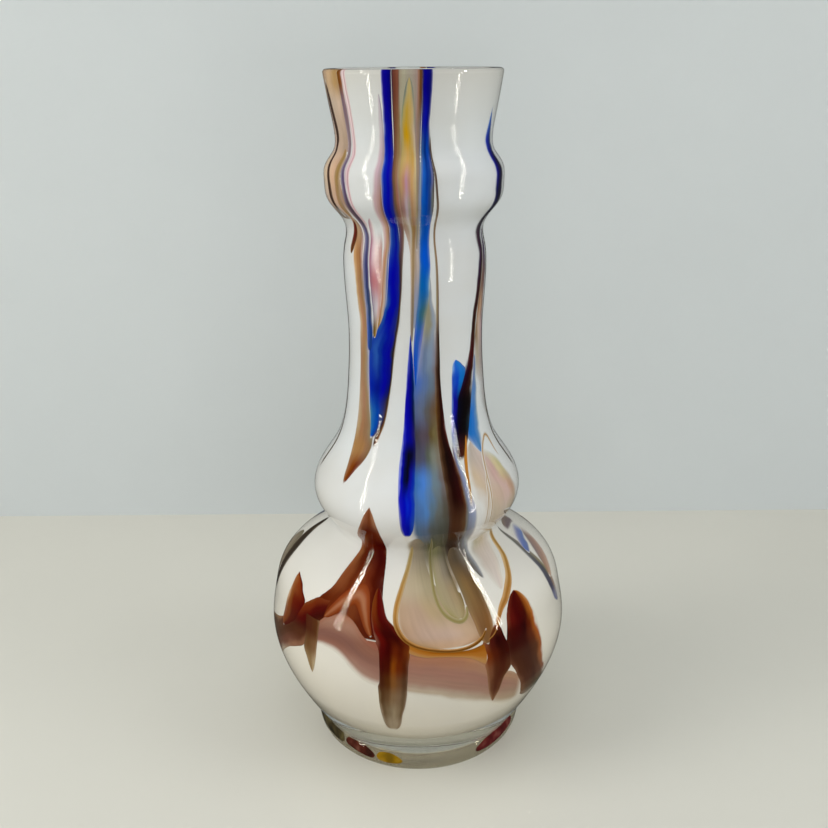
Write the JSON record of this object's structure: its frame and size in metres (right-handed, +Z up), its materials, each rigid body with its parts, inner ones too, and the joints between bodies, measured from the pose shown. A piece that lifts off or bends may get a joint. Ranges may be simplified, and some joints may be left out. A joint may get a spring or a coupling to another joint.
{
  "type": "vase",
  "caption": "Hand blown glass vase: globe, two waists, slim neck, bulge and flared cup; opal liner, trapped colour streaks, clear casing and clear foot.",
  "frame": {"origin": "middle of the foot's underside, on the surface that the vase stands on", "axes": "+Z up along the vase's axis; -Y is the front; +X is to the right seen from the front"},
  "size_m": [0.1382, 0.1382, 0.3],
  "materials": {
    "amber_glass": "coloured glass melted in, glossy under the clear casing",
    "azure_glass": "coloured glass melted in, glossy under the clear casing",
    "clear_glass": "clear, fire polished, faint grey olive tint in the thick base",
    "cobalt_glass": "coloured glass melted in, glossy under the clear casing",
    "cream_glass": "coloured glass melted in, glossy under the clear casing",
    "honey_glass": "coloured glass melted in, glossy under the clear casing",
    "mauve_glass": "coloured glass melted in, glossy under the clear casing",
    "olive_glass": "coloured glass melted in, glossy under the clear casing",
    "opal_glass": "opal white, glossy",
    "oxblood_glass": "coloured glass melted in, glossy under the clear casing",
    "pink_glass": "coloured glass melted in, glossy under the clear casing",
    "ruby_glass": "coloured glass melted in, glossy under the clear casing",
    "slate_glass": "coloured glass melted in, glossy under the clear casing",
    "tan_glass": "coloured glass melted in, glossy under the clear casing",
    "umber_glass": "coloured glass melted in, glossy under the clear casing",
    "violet_glass": "coloured glass melted in, glossy under the clear casing"
  },
  "bodies": {
    "root": {"amber_band": "amber_glass", "amber_leaf_back": "amber_glass", "amber_thread_back": "amber_glass", "amber_thread_right": "amber_glass", "azure_patch": "azure_glass", "azure_patch_low": "azure_glass", "azure_stripe_back": "azure_glass", "clear_casing": "clear_glass", "cobalt_stripe_back": "cobalt_glass", "cobalt_stripe_left": "cobalt_glass", "cobalt_stripe_right": "azure_glass", "cobalt_tongue_centre": "cobalt_glass", "cream_veil": "cream_glass", "foot_chip_amber_back": "amber_glass", "foot_chip_cobalt_back": "cobalt_glass", "foot_chip_olive": "olive_glass", "foot_chip_ruby_left": "ruby_glass", "foot_chip_ruby_right": "ruby_glass", "foot_chip_yellow": "honey_glass", "foot_core": "clear_glass", "foot_wrap": "clear_glass", "honey_feather": "honey_glass", "honey_feather_back": "honey_glass", "mauve_band_back": "mauve_glass", "mauve_band_left": "mauve_glass", "mauve_band_right": "mauve_glass", "olive_band_left": "olive_glass", "opal_liner": "opal_glass", "oxblood_branch_left": "oxblood_glass", "oxblood_drip_back": "oxblood_glass", "oxblood_drip_left": "oxblood_glass", "oxblood_drip_right": "oxblood_glass", "oxblood_leaf_back": "oxblood_glass", "oxblood_leaf_right": "oxblood_glass", "oxblood_streak": "oxblood_glass", "oxblood_waist": "oxblood_glass", "oxblood_waist_back": "oxblood_glass", "pink_leaf_back": "pink_glass", "pink_leaf_right": "pink_glass", "pink_tongue": "pink_glass", "slate_sliver": "slate_glass", "slate_veil": "slate_glass", "slate_veil_back": "slate_glass", "tan_drip_back": "tan_glass", "tan_drip_left": "tan_glass", "umber_shoulder_left": "umber_glass", "umber_thread_left": "umber_glass", "umber_thread_right": "umber_glass", "violet_band_back": "violet_glass", "violet_band_right": "violet_glass", "violet_branch_left": "violet_glass", "violet_shoulder_right": "violet_glass"}
  },
  "joints": []
}
